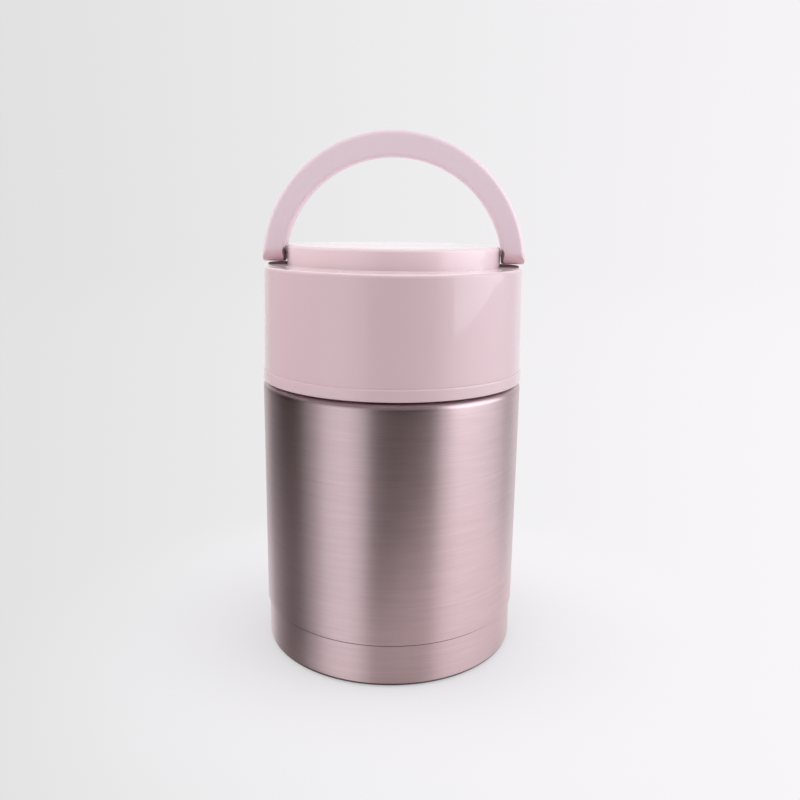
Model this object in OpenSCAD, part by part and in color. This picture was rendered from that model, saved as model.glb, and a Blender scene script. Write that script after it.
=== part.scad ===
// Insulated food jar: double-walled steel jar, insulated screw lid with a
// folding carry handle, and an inner stopper with a spring-loaded vent.
// Millimetres. +Z is up, the origin is the centre of the foot on the table,
// and the handle turns about an axis along X.

/* [Jar] */
// Outside radius of the steel jar
jar_r = 52.35; // [46:0.05:60]
// Height of the base cap that shows below the jar's shell
base_show_h = 17.7; // [12:0.1:24]
// Height of the jar's shoulder above the table
shoulder_z = 110.8; // [95:0.1:160]
// Radius of the rounded shoulder edge
shoulder_round = 2.3; // [1:0.1:4]
// Thickness of the outer steel shell
shell_wall = 0.6; // [0.4:0.1:0.8]
// Thickness of the inner steel liner
liner_wall = 0.5; // [0.4:0.1:0.8]
// Width of the vacuum space between shell and liner
vacuum_gap = 3.4; // [2.5:0.1:5]

/* [Neck] */
// Width of the flat shoulder between the jar's side and its neck
shoulder_w = 7.85; // [7:0.05:10]
// Height of the neck above the shoulder
neck_h = 23.2; // [20:0.1:28]
// Width of the vacuum space inside the neck
neck_gap = 1.3; // [0.8:0.1:1.5]
// Distance between two turns of the screw thread
thread_pitch = 5; // [4:0.1:6]
// How far each thread ridge stands out
thread_depth = 1; // [0.6:0.1:1.3]
// Turns of thread on the neck and in the lid
thread_turns = 1.4; // [1:0.1:1.6]

/* [Base] */
// Thickness of the base cap's steel
cap_wall = 0.6; // [0.4:0.1:1]
// Length of the base cap that is pushed up inside the shell
cap_overlap = 6; // [3:0.1:8]
// Radius of the base cap's rounded bottom edge
cap_round = 2.2; // [1.2:0.1:3]
// Width of the flat ring that the jar stands on
foot_ring_w = 3.5; // [2:0.1:6]
// Depth of the hollow inside the foot ring
foot_recess = 1.5; // [0.8:0.1:2.5]
// Height of the vacuum base above the base cap's floor
base_space = 4; // [3:0.1:6]
// Thickness of the vacuum base
base_wall = 0.8; // [0.6:0.1:1]
// Gap between the vacuum base and the liner's floor
floor_gap = 5.2; // [4:0.1:8]

/* [Lid] */
// How far the lid's lower edge stands out past the jar's side
lid_proud = 0.15; // [0:0.05:0.5]
// How much narrower the lid is at its top than at its lower edge
lid_draft = 1.25; // [0.5:0.05:2]
// Gap between the lid's lower edge and the jar's shoulder
lid_gap = 1; // [0.6:0.1:2]
// Height of the lid's side
lid_h = 44.6; // [42:0.1:60]
// Height of the rim flange that shows below the lid's shell
rim_h = 4.7; // [3:0.1:7]
// How far the rim flange stands out past the shell
rim_step = 0.35; // [0.2:0.05:0.5]
// Radius of the arc that leads from the rim flange's side over that step
rim_arc = 1; // [0.8:0.1:2]
// Thickness of the lid's outer shell
lid_wall = 2.2; // [1.6:0.1:2.4]
// Radius of the lid's rounded shoulder
lid_round = 1.3; // [0.8:0.1:1.5]
// Gap between the vent button and the lid's ceiling
head_gap = 1.3; // [0.6:0.1:2]

/* [Plateau] */
// Width of the ledge round the raised middle, at the handle's axis
ledge_w = 8.55; // [8.3:0.05:11]
// Height of the raised middle above the ledge
plateau_h = 8; // [7.2:0.1:9]
// Radius of the raised middle's rounded top edge
plateau_round = 1.4; // [0.6:0.1:1.8]

/* [Handle] */
// Width of the handle's legs at the hinge
handle_w = 8.6; // [7:0.1:10]
// Width of the handle at its crown
crown_w = 10.1; // [8:0.1:12]
// Depth of the handle, front to back
handle_d = 8.6; // [7:0.1:9]
// Clearance between the handle's legs and the raised middle
leg_gap = 0.5; // [0.4:0.1:1.5]
// Radius of the round hub on the inner side of each leg
leg_hub_r = 4; // [2:0.1:4.2]
// Gap between the hubs and the raised middle's sides
leg_hub_gap = 0.4; // [0.3:0.1:0.6]
// How far the centre of the arch's inside lies below the hinge axis
arch_drop = 7.6; // [5:0.1:9]
// Gap between the legs' round ends and the ledge
leg_lift = 1.2; // [0.8:0.1:1.6]
// Width of the low rib on the ledge under each leg, front to back
rib_d = 3.6; // [2:0.1:6]
// Radius of the handle's outer edges
handle_round = 1.7; // [0.6:0.1:2]
// Radius of the handle's inner edges
handle_inner_round = 1.2; // [0.4:0.1:1.6]
// Radius of the hinge pins
pin_r = 1.2; // [1:0.05:1.4]
// Length of each hinge pin
pin_l = 13; // [11:0.1:15]
// Thickness of the leg left past each pin's outer end
pin_cover = 3.3; // [2.5:0.1:5]

/* [Stopper] */
// Clearance between the stopper's plug and the jar's mouth
plug_gap = 1.6; // [1.2:0.1:2.5]
// Depth of the plug below the jar's mouth
plug_h = 18; // [16:0.1:20]
// Wall thickness of the stopper's plastic parts
stopper_wall = 1.6; // [1.2:0.1:1.8]
// Thickness of the stopper's flange
flange_t = 1.8; // [1.4:0.1:2.2]
// How far the flange stands out past the jar's neck
flange_out = 0.3; // [0:0.1:0.6]
// Thickness of the silicone seal under the flange
seal_t = 1.5; // [1:0.1:2]
// Depth of the finger trough in the stopper's top
trough_depth = 8; // [6:0.1:9]
// Width of the stopper's top between the finger trough and the plug's wall
trough_rim_w = 11; // [8:0.1:14]
// Radius of the hub in the middle of the trough
hub_r = 15; // [14:0.1:16]

/* [Vent] */
// Radius of the vent button
button_r = 9; // [8:0.1:9.5]
// Height of the vent button
button_h = 6; // [5:0.1:7]
// How far the button stands above the hub
button_proud = 1; // [0.6:0.1:1.4]
// Travel of the vent button
vent_travel = 2; // [1:0.1:2.5]
// Radius of the vent stem
stem_r = 2; // [1.6:0.1:2.4]
// Wire radius of the vent spring
wire_r = 0.4; // [0.3:0.05:0.5]
// Mean radius of the vent spring
spring_r = 5.6; // [5.2:0.1:6]
// Turns of the vent spring
spring_turns = 4; // [3:1:6]

/* [Clearances] */
// Gap between pieces that are welded, glued or pressed together
seat_gap = 0.05; // [0.02:0.01:0.1]
// Radial clearance of shafts that turn or slide
run_gap = 0.05; // [0.02:0.01:0.1]
// Gap between pieces that come apart
free_gap = 0.3; // [0.2:0.05:0.5]
// Gap between a soft filling and the walls around it
fill_gap = 0.2; // [0.1:0.05:0.4]
// Gap between a seal and the face that it closes
seal_gap = 0.1; // [0.05:0.05:0.2]

/* [Hidden] */
$fn = 96;

// Colours
STEEL_ROSE = [0.72, 0.60, 0.58];
STEEL_BRIGHT = [0.80, 0.80, 0.80];
PINK = [0.87, 0.74, 0.77];
PINK_PALE = [0.90, 0.80, 0.82];
FOAM = [0.95, 0.94, 0.90];
SILICONE = [0.93, 0.93, 0.92];

// Joined solids overlap by this much
eps = 0.01;
// Cuts run past the faces that they open by this much
cut = 1;
// Longer than anything that a cut has to reach
far = 300;

// Jar
shell_in_r = jar_r - shell_wall;
liner_r = shell_in_r - vacuum_gap;
neck_r = jar_r - shoulder_w;
neck_in_r = neck_r - shell_wall;
liner_neck_r = neck_in_r - neck_gap;
mouth_r = liner_neck_r - liner_wall;
mouth_z = shoulder_z + neck_h;
lip_t = 1.2;
lip_round = 0.4;
liner_shoulder_z = shoulder_z - shell_wall - vacuum_gap;
liner_floor_round = 8;
liner_shoulder_round = 5;

// Base
cap_r = shell_in_r - seat_gap;
cap_top_z = base_show_h + cap_overlap;
base_r = cap_r - cap_wall - seat_gap;
base_rim_h = 5;
base_round = 5;
foot_in_r = cap_r - cap_round - foot_ring_w;
base_floor_z = foot_recess + cap_wall + base_space;
liner_floor_z = base_floor_z + base_wall + floor_gap;
port_r = 1.2;
plug_bead_r = 4;
plug_bead_t = 1;
getter_r = 5;
getter_t = 2;
getter_x = 14;

// Lid
lid_r = jar_r + lid_proud;
lid_z = shoulder_z + lid_gap;
rim_top_z = lid_z + rim_h;
ledge_z = lid_z + lid_h;
lid_top_r = lid_r - lid_draft;
lid_in_r = lid_top_r - lid_wall;
lid_side_slope = lid_draft / lid_h;
rim_round = 0.6;
rim_top_r = lid_r - lid_side_slope * rim_h;
rim_arc_z = rim_top_z - sqrt(rim_arc * rim_arc - (rim_arc - rim_step) * (rim_arc - rim_step));
male_crest_r = neck_r + thread_depth;
female_crest_r = male_crest_r + free_gap;
lid_bore_r = female_crest_r + thread_depth;
lid_liner_r = lid_in_r - seat_gap;
thread_root_w = 2.4;
thread_crest_w = 1;
neck_thread_z = lid_z + 5;
lid_thread_z = neck_thread_z - thread_pitch / 2;
thread_sink = 0.3;
thread_steps = 48;
thread_run_in = 20;
thread_end_depth = 0.05;

// Stopper
plug_r = mouth_r - plug_gap;
plug_floor_z = mouth_z - plug_h;
seal_z = mouth_z + seal_gap;
flange_z = seal_z + seal_t + seat_gap;
flange_r = neck_r + flange_out;
cover_z = flange_z + flange_t;
cover_top_z = cover_z + stopper_wall;
cover_inset = 1;
cover_r = flange_r - cover_inset;
cup_in_r = plug_r - stopper_wall;
locator_h = 3;
trough_r = cup_in_r - trough_rim_w;
trough_floor_z = cover_top_z - trough_depth;
edge_round = 0.6;
collar_h = 9;
collar_t = 0.6;
collar_r = plug_r + seat_gap + collar_t;
seal_lip_r = mouth_r - free_gap;
seal_lip_t = 0.4;
seal_lip_rise = 1.4;
seal_lips = 2;

// Vent
well_r = button_r + free_gap;
button_top_z = cover_top_z + button_proud;
button_z = button_top_z - button_h;
button_wall = 1.4;
well_floor_z = button_z - vent_travel - 2 * free_gap;
cover_under_z = min(trough_floor_z, well_floor_z) - stopper_wall;
foam_top_z = cover_under_z - fill_gap;
// Sizes round the stem: its guide, the hole and the tube that steam passes
vent_hole_gap = 1;
vent_tube_gap = 2.4;
vent_tube_wall = 1.2;
vent_hole_r = stem_r + vent_hole_gap;
vent_tube_in_r = stem_r + vent_tube_gap;
vent_tube_r = vent_tube_in_r + vent_tube_wall;
vent_slot_r = 0.7;
vent_slot_x = stem_r + run_gap + 2 * vent_slot_r;
vent_slots = 4;
vent_seal_w = 2.2;
vent_seal_r = vent_hole_r + vent_seal_w;
vent_seal_t = 1.6;
stem_foot_w = 1.5;
stem_foot_r = stem_r + stem_foot_w;
stem_foot_t = 1.2;
stem_boss_r = stem_r + button_wall;
stem_in_boss = 3;
stem_foot_z = plug_floor_z - seal_gap - vent_seal_t - stem_foot_t;
button_roof_z = button_top_z - button_wall;
stem_top_z = button_z + stem_in_boss;
spring_z = well_floor_z + seat_gap;
spring_h = button_roof_z - seat_gap - spring_z;
spring_sides = 8;
spring_steps = 16;

// Lid's inside, above the stopper
gasket_w = 4;
gasket_r = cover_r;
gasket_z = cover_top_z + seal_gap;
ceiling_z = button_top_z + head_gap;
ceiling_t = 2.2;
gasket_groove = 1;
ceiling_top_z = ceiling_z + ceiling_t;
lid_roof_z = ledge_z - lid_wall;

// Handle and plateau
plateau_half_w = lid_top_r - ledge_w;
plateau_z = ledge_z + plateau_h;
leg_r = handle_d / 2;
hinge_z = ledge_z + leg_lift + leg_r;
arch_in_z = hinge_z - arch_drop;
plateau_r = norm([plateau_half_w, arch_drop]);
arch_in_r = plateau_r + leg_gap;
leg_in_x = sqrt(arch_in_r * arch_in_r - arch_drop * arch_drop);
leg_out_x = leg_in_x + handle_w;
leg_hub_x = plateau_half_w + leg_hub_gap;
// The outer circle passes both legs and the crown, which is this high above the hinge
crown_h = arch_in_r - arch_drop + crown_w;
arch_r = (leg_out_x * leg_out_x + crown_h * crown_h) / (2 * crown_h);
arch_z = hinge_z + crown_h - arch_r;
rib_h = leg_lift - free_gap;
rib_end_gap = 3.5;
pin_out_x = leg_out_x - pin_cover;
pin_in_x = pin_out_x - pin_l;
pin_chamfer = 0.3;
pin_end_gap = 0.5;
boss_half_d = 5;
boss_end_gap = 1.5;
boss_in_x = pin_in_x - boss_end_gap;

// ---- Helpers ----

// A solid of revolution from a profile drawn as [radius, height]
module turned() {
    rotate_extrude() children();
}

// A tube that stands on the height z
module tube(r_out, r_in, z, h) {
    translate([0, 0, z]) difference() {
        cylinder(r = r_out, h = h);
        translate([0, 0, -eps]) cylinder(r = r_in, h = h + 2 * eps);
    }
}

// A profile block from the axis out to r, with its top outer corner rounded
module top_rounded(r, z0, z1, round) {
    translate([0, z0]) square([r, z1 - z0 - round]);
    translate([0, z0]) square([r - round, z1 - z0]);
    translate([r - round, z1 - round]) circle(r = round);
}

// The same with its bottom outer corner rounded
module bottom_rounded(r, z0, z1, round) {
    translate([0, z0 + round]) square([r, z1 - z0 - round]);
    translate([0, z0]) square([r - round, z1 - z0]);
    translate([r - round, z0 + round]) circle(r = round);
}

// Keeps a profile on the right of the axis
module right_half() {
    intersection() {
        children();
        translate([0, -far]) square([far, 2 * far]);
    }
}

// One point of a thread's ridge: the angle is in degrees, side is 1 for a
// ridge that stands outwards and -1 for one that stands inwards
function thread_rise(a) = thread_pitch * a / 360;
function thread_height(a, last) =
    thread_depth * min(1, min(a, last - a) / thread_run_in + thread_end_depth);
function thread_ring(a, last, root_r, side) = [
    for (p = [
        [-thread_sink, -thread_root_w / 2],
        [thread_height(a, last), -thread_crest_w / 2],
        [thread_height(a, last), thread_crest_w / 2],
        [-thread_sink, thread_root_w / 2]
    ])
    let (r = root_r + side * p[0])
    [r * cos(a), r * sin(a), thread_rise(a) + p[1]]
];

// Faces of a tube of rings with closed ends; flip turns them inside out
function flipped(f, flip) = flip ? [for (i = [len(f) - 1 : -1 : 0]) f[i]] : f;
function tube_faces(rings, n, flip) = concat(
    [flipped([for (j = [0 : n - 1]) j], flip)],
    [for (i = [0 : rings - 2], j = [0 : n - 1])
        let (a = i * n + j, b = i * n + (j + 1) % n)
        each [flipped([a, a + n, b], flip), flipped([b, a + n, b + n], flip)]],
    [flipped([for (j = [n - 1 : -1 : 0]) (rings - 1) * n + j], flip)]
);

// A screw thread's ridge on a cylinder of radius root_r, from the height z up
module thread(root_r, side, z) {
    last = 360 * thread_turns;
    count = ceil(thread_steps * thread_turns);
    points = [for (i = [0 : count]) each thread_ring(last * i / count, last, root_r, side)];
    translate([0, 0, z])
        polyhedron(points, tube_faces(count + 1, 4, side > 0));
}

// ---- Jar ----

// Solid profile of the shell, set in by a wall's thickness
module shell_profile(inset) {
    right_half() union() {
        top_rounded(jar_r - inset, base_show_h - (inset > 0 ? cut : 0),
            shoulder_z - inset, shoulder_round - inset);
        translate([0, base_show_h])
            square([neck_r - inset, mouth_z - lip_t - base_show_h + (inset > 0 ? cut : 0)]);
    }
}

module outer_shell() {
    color(STEEL_ROSE) union() {
        turned() difference() {
            shell_profile(0);
            shell_profile(shell_wall);
        }
        thread(neck_r, 1, neck_thread_z);
    }
}

// Solid profile of the liner, set in by a wall's thickness
module liner_profile(inset) {
    right_half() union() {
        intersection() {
            top_rounded(liner_r - inset, 0, liner_shoulder_z - inset,
                liner_shoulder_round - inset);
            bottom_rounded(liner_r - inset, liner_floor_z + inset, far,
                liner_floor_round - inset);
        }
        translate([0, liner_shoulder_z - liner_shoulder_round])
            square([liner_neck_r - inset,
                mouth_z - liner_shoulder_z + liner_shoulder_round + (inset > 0 ? cut : 0)]);
    }
}

module inner_liner() {
    color(STEEL_BRIGHT) turned() difference() {
        union() {
            liner_profile(0);
            top_rounded(neck_r, mouth_z - lip_t, mouth_z, lip_round);
        }
        liner_profile(liner_wall);
        // Rounds the lip's inner edge
        difference() {
            translate([0, mouth_z - lip_round]) square([mouth_r + lip_round, lip_round + cut]);
            translate([mouth_r + lip_round, mouth_z - lip_round]) circle(r = lip_round);
        }
    }
}

// Closes the vacuum space: a cup inside the base cap, with a rim that steps
// out to the shell above the cap's edge
module vacuum_base() {
    color(STEEL_BRIGHT) turned() difference() {
        union() {
            bottom_rounded(base_r, base_floor_z, cap_top_z + seat_gap + base_rim_h, base_round);
            translate([0, cap_top_z + seat_gap]) square([cap_r, base_rim_h]);
        }
        bottom_rounded(base_r - base_wall, base_floor_z + base_wall, far,
            base_round - base_wall);
        translate([0, cap_top_z + seat_gap + base_wall]) square([cap_r - base_wall, base_rim_h]);
        square([port_r, far]);
    }
}

// The bead that closes the vacuum port
module seal_plug() {
    color(STEEL_BRIGHT) union() {
        translate([0, 0, base_floor_z - plug_bead_t])
            cylinder(r1 = plug_bead_r - plug_bead_t, r2 = plug_bead_r, h = plug_bead_t);
        translate([0, 0, base_floor_z - eps])
            cylinder(r = port_r - seat_gap, h = base_wall + eps);
    }
}

// The pellet that keeps the vacuum, under the liner's floor
module getter() {
    color("dimgray") translate([getter_x, 0, liner_floor_z - getter_t])
        cylinder(r = getter_r, h = getter_t);
}

module base_cap() {
    color(STEEL_ROSE) turned() difference() {
        bottom_rounded(cap_r, 0, cap_top_z, cap_round);
        bottom_rounded(cap_r - cap_wall, foot_recess + cap_wall, far, cap_wall);
        difference() {
            bottom_rounded(cap_r - cap_wall, cap_wall, foot_recess + 2 * cap_wall,
                cap_round - cap_wall);
            square([foot_in_r + cap_wall, far]);
        }
        top_rounded(foot_in_r, -cut, foot_recess, cap_wall);
    }
}

// ---- Lid ----

// Outline of the raised middle, set in by a wall's thickness: two arcs that
// follow the folded handle, one for each way that it folds
module plateau_outline(inset) {
    intersection() {
        translate([0, arch_drop]) circle(r = plateau_r - inset);
        translate([0, -arch_drop]) circle(r = plateau_r - inset);
    }
}

// The raised middle: the same two arcs, each turned with a rounded top edge
module plateau_block() {
    intersection_for (side = [-1, 1])
        translate([0, side * arch_drop, 0])
            turned() right_half() top_rounded(plateau_r, ledge_z - lid_wall,
                plateau_z, plateau_round);
}

module lid_side_profile() {
    low_r = rim_top_r - rim_step;
    right_half() union() {
        top_rounded(lid_top_r, rim_top_z, ledge_z, lid_round);
        polygon([
            [0, rim_top_z], [low_r, rim_top_z],
            [lid_top_r, ledge_z - lid_round], [0, ledge_z - lid_round]
        ]);
    }
}

// Carries one hinge pin inside the plateau
module pin_boss() {
    translate([boss_in_x, -boss_half_d, lid_roof_z])
        cube([plateau_half_w - lid_wall / 2 - boss_in_x, 2 * boss_half_d,
            plateau_z - lid_wall - lid_roof_z + eps]);
}

// Low rib on the ledge that keeps dirt from getting under a leg
module leg_rib() {
    x = plateau_half_w - lid_wall / 2;
    translate([x, -rib_d / 2, ledge_z - eps])
        cube([leg_out_x - rib_end_gap - x, rib_d, rib_h + eps]);
}

// A round bar along the hinge axis, on the right from x0 to x1
module hinge_bar(r, x0, x1) {
    translate([x0, 0, hinge_z]) rotate([0, 90, 0]) cylinder(r = r, h = x1 - x0);
}

// Draws its children on the right and, turned round the jar's axis, on the left
module both_sides() {
    children();
    rotate([0, 0, 180]) children();
}

module lid_shell() {
    color(PINK) difference() {
        union() {
            difference() {
                union() {
                    turned() lid_side_profile();
                    plateau_block();
                }
                translate([0, 0, rim_top_z - cut])
                    cylinder(r = lid_in_r, h = lid_roof_z - rim_top_z + cut);
                translate([0, 0, lid_roof_z - cut])
                    linear_extrude(plateau_z - lid_wall - lid_roof_z + cut)
                        plateau_outline(lid_wall);
            }
            both_sides() {
                pin_boss();
                leg_rib();
            }
        }
        both_sides() hinge_bar(pin_r + run_gap, boss_in_x - cut, plateau_half_w + cut);
    }
}

module lid_liner() {
    color(PINK_PALE) union() {
        turned() difference() {
            union() {
                polygon([
                    [0, lid_z + rim_round], [lid_r, lid_z + rim_round],
                    [rim_top_r, rim_arc_z], [0, rim_arc_z]
                ]);
                intersection() {
                    top_rounded(rim_top_r, rim_arc_z - eps, rim_arc_z + rim_arc, rim_arc);
                    square([far, rim_top_z]);
                }
                right_half() bottom_rounded(lid_r, lid_z, lid_z + 2 * rim_round, rim_round);
                translate([0, rim_top_z - cut])
                    square([lid_liner_r, ceiling_top_z - rim_top_z + cut]);
            }
            translate([0, lid_z - cut]) square([lid_bore_r, ceiling_z - lid_z + cut]);
            translate([gasket_r - gasket_w - seat_gap, ceiling_z - cut])
                square([gasket_w + 2 * seat_gap, gasket_groove + cut]);
        }
        thread(lid_bore_r, -1, lid_thread_z);
    }
}

module lid_foam() {
    color(FOAM) difference() {
        union() {
            translate([0, 0, ceiling_top_z + fill_gap])
                cylinder(r = lid_in_r - fill_gap, h = lid_roof_z - ceiling_top_z - 2 * fill_gap);
            translate([0, 0, ceiling_top_z + fill_gap])
                linear_extrude(plateau_z - lid_wall - ceiling_top_z - 2 * fill_gap)
                    plateau_outline(lid_wall + fill_gap);
        }
        both_sides()
            translate([boss_in_x - fill_gap, -boss_half_d - fill_gap, lid_roof_z - fill_gap])
                cube([far, 2 * (boss_half_d + fill_gap), far]);
    }
}

module lid_gasket() {
    color(SILICONE) tube(gasket_r, gasket_r - gasket_w, gasket_z,
        ceiling_z + gasket_groove - gasket_z);
}

// ---- Handle ----

// A round plate in the handle's plane, as deep as the handle, from a profile of
// its radius and its depth
module plate(z) {
    translate([0, 0, z]) rotate([90, 0, 0]) turned() children();
}

// Profile of the arch's outer circle, with both edges rounded
module arch_outside() {
    right_half() {
        translate([0, -handle_d / 2]) square([arch_r - handle_round, handle_d]);
        translate([0, handle_round - handle_d / 2])
            square([arch_r, handle_d - 2 * handle_round]);
        for (s = [-1, 1])
            translate([arch_r - handle_round, s * (handle_d / 2 - handle_round)])
                circle(r = handle_round);
    }
}

// Profile of the opening, which widens at both faces to round the inner edges
module arch_inside() {
    reach = arch_in_r + handle_inner_round;
    difference() {
        translate([0, -handle_d / 2 - cut]) square([reach, handle_d + 2 * cut]);
        translate([arch_in_r, handle_inner_round - handle_d / 2])
            square([reach, handle_d - 2 * handle_inner_round]);
        for (s = [-1, 1])
            translate([reach, s * (handle_d / 2 - handle_inner_round)])
                circle(r = handle_inner_round);
    }
}

module handle() {
    color(PINK) difference() {
        plate(arch_z) arch_outside();
        // The opening leaves a flat, round hub on each leg
        difference() {
            plate(arch_in_z) arch_inside();
            both_sides() hinge_bar(leg_hub_r, leg_hub_x, leg_in_x + handle_w / 2);
        }
        // Round ends about the hinge axis
        difference() {
            translate([-far / 2, -far / 2, hinge_z - far])
                cube([far, far, far]);
            hinge_bar(leg_r, -far, far);
        }
        both_sides() hinge_bar(pin_r, leg_in_x - cut, pin_out_x + pin_end_gap);
    }
}

module hinge_pin() {
    color(STEEL_BRIGHT) union() {
        translate([pin_in_x, 0, hinge_z]) rotate([0, 90, 0])
            cylinder(r1 = pin_r - pin_chamfer, r2 = pin_r, h = pin_chamfer);
        hinge_bar(pin_r, pin_in_x + pin_chamfer, pin_out_x);
    }
}

module handle_pin_left() {
    rotate([0, 0, 180]) hinge_pin();
}

module handle_pin_right() {
    hinge_pin();
}

// ---- Stopper ----

module stopper_body() {
    color(PINK_PALE) turned() union() {
        difference() {
            union() {
                right_half() bottom_rounded(plug_r, plug_floor_z, flange_z + edge_round, stopper_wall);
                translate([0, flange_z]) square([flange_r, flange_t]);
            }
            translate([0, plug_floor_z + stopper_wall]) square([cup_in_r, far]);
            translate([0, plug_floor_z - cut]) square([vent_hole_r, far]);
        }
        // Tube that keeps the vent's steam out of the insulation
        translate([vent_tube_in_r, plug_floor_z + stopper_wall / 2])
            square([vent_tube_r - vent_tube_in_r,
                cover_under_z - seat_gap - plug_floor_z - stopper_wall / 2]);
    }
}

module stopper_cover() {
    color(PINK) difference() {
        turned() difference() {
            union() {
                top_rounded(cover_r, cover_z, cover_top_z, edge_round);
                translate([0, cover_z - locator_h])
                    square([cup_in_r - seat_gap, locator_h + eps]);
                translate([0, cover_under_z])
                    square([trough_r + stopper_wall, cover_top_z - edge_round - cover_under_z]);
            }
            // Finger trough
            translate([hub_r, trough_floor_z]) square([trough_r - hub_r, far]);
            // Hollow under the outer ring
            translate([trough_r + stopper_wall, cover_z - far])
                square([cup_in_r - stopper_wall - trough_r - stopper_wall, far]);
            // Hollow inside the hub
            translate([well_r + stopper_wall, cover_under_z - far])
                square([hub_r - well_r - 2 * stopper_wall, far + cover_z - cover_under_z]);
            // Well for the button, and the stem's guide
            translate([0, well_floor_z]) square([well_r, far]);
            square([stem_r + run_gap, far]);
        }
        for (i = [0 : vent_slots - 1])
            rotate([0, 0, 45 + 360 * i / vent_slots])
                translate([vent_slot_x, 0, cover_under_z - cut])
                    cylinder(r = vent_slot_r, h = well_floor_z - cover_under_z + 2 * cut);
    }
}

module stopper_foam() {
    z = plug_floor_z + stopper_wall + fill_gap;
    color(FOAM) tube(cup_in_r - fill_gap, vent_tube_r + fill_gap, z, foam_top_z - z);
}

// One of the soft lips that wipe the mouth's wall: flat on top, sloping below
module seal_lip(z) {
    polygon([
        [0, z - seal_lip_rise], [seal_lip_r, z],
        [seal_lip_r, z + seal_lip_t], [0, z + seal_lip_t]
    ]);
}

module stopper_seal() {
    color(SILICONE) turned() difference() {
        union() {
            translate([0, seal_z]) square([flange_r - edge_round, seal_t]);
            translate([0, mouth_z - collar_h]) square([collar_r, collar_h + seal_gap + eps]);
            for (i = [1 : seal_lips])
                seal_lip(mouth_z - collar_h * i / (seal_lips + 1));
        }
        square([plug_r + seat_gap, far]);
    }
}

// ---- Vent ----

module vent_button() {
    color("white") turned() union() {
        difference() {
            top_rounded(button_r, button_z, button_top_z, edge_round);
            translate([0, button_z - cut])
                square([button_r - button_wall, button_h - button_wall + cut]);
        }
        difference() {
            translate([0, button_z]) square([stem_boss_r, button_h - button_wall + eps]);
            translate([0, button_z - cut]) square([stem_r, stem_in_boss + cut + seat_gap]);
        }
    }
}

module vent_stem() {
    color("white") union() {
        translate([0, 0, stem_foot_z]) cylinder(r = stem_foot_r, h = stem_foot_t);
        translate([0, 0, stem_foot_z + stem_foot_t - eps])
            cylinder(r = stem_r, h = stem_top_z - stem_foot_z - stem_foot_t + eps);
    }
}

// The spring's centre line starts and ends one wire radius inside its height
function spring_point(i, n) =
    let (a = 360 * spring_turns * i / n)
    [spring_r * cos(a), spring_r * sin(a), wire_r + (spring_h - 2 * wire_r) * i / n];

module vent_spring() {
    n = spring_turns * spring_steps;
    points = [
        for (i = [0 : n])
        let (c = spring_point(i, n), a = 360 * spring_turns * i / n)
        for (j = [0 : spring_sides - 1])
        let (b = 360 * j / spring_sides, out = wire_r * cos(b))
        [c[0] + out * cos(a), c[1] + out * sin(a), c[2] + wire_r * sin(b)]
    ];
    color("silver") translate([0, 0, spring_z])
        polyhedron(points, tube_faces(n + 1, spring_sides, true));
}

module vent_seal() {
    color(SILICONE) tube(vent_seal_r, stem_r + seat_gap, stem_foot_z + stem_foot_t, vent_seal_t);
}

outer_shell();
inner_liner();
vacuum_base();
seal_plug();
getter();
base_cap();
lid_shell();
lid_liner();
lid_foam();
lid_gasket();
handle();
handle_pin_left();
handle_pin_right();
stopper_body();
stopper_cover();
stopper_foam();
stopper_seal();
vent_button();
vent_stem();
vent_spring();
vent_seal();
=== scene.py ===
# %% [markdown]
# # An insulated food jar
#
# A steel jar with two walls, a glossy screw lid with a folding carry handle, and a stopper with a
# small vent under the lid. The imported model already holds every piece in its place, so this script
# only adds what the eye needs: smooth surfaces, finishes, a floor, light and a camera. Everything
# is in metres. The jar stands on z = 0 with its axis on Z, and the handle turns about X.

import math

import bpy
import numpy as np
from mathutils import Matrix


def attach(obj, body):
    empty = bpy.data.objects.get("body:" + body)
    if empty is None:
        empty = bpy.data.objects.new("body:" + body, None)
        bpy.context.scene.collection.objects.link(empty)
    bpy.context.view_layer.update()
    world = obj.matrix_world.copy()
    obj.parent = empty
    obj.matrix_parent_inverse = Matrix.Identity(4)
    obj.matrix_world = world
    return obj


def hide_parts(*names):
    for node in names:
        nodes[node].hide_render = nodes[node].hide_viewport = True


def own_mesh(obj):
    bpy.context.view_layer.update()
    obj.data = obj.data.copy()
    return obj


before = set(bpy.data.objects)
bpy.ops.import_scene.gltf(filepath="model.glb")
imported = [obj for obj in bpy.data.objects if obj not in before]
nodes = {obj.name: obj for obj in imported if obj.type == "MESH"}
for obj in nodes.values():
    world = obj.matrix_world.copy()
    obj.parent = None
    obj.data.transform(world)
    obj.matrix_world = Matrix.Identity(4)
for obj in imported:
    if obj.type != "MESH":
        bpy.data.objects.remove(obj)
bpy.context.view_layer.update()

# %% [markdown]
# ## The camera
#
# The view is from a little above the lid, so the camera looks down by about 13 degrees. A camera
# object looks along its own -Z with +Y up, so its matrix has the picture's right, the picture's up
# and the reversed view direction as columns. Right and up are turned by the small roll of a camera
# that isn't held quite level. The camera stands a little to the right of the jar's front.

# %% Camera
def camera_axes(pitch, yaw, roll):
    """Right, up and back: forward is (sin yaw cos pitch, cos yaw cos pitch, -sin pitch), right is
    level and square to it, up is their cross product, and the roll turns right towards up."""
    forward = np.array([math.sin(yaw) * math.cos(pitch), math.cos(yaw) * math.cos(pitch), -math.sin(pitch)])
    level = np.array([math.cos(yaw), -math.sin(yaw), 0.0])
    above = np.cross(level, forward)
    right = math.cos(roll) * level + math.sin(roll) * above
    up = math.cos(roll) * above - math.sin(roll) * level
    return right, up, -forward


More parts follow.
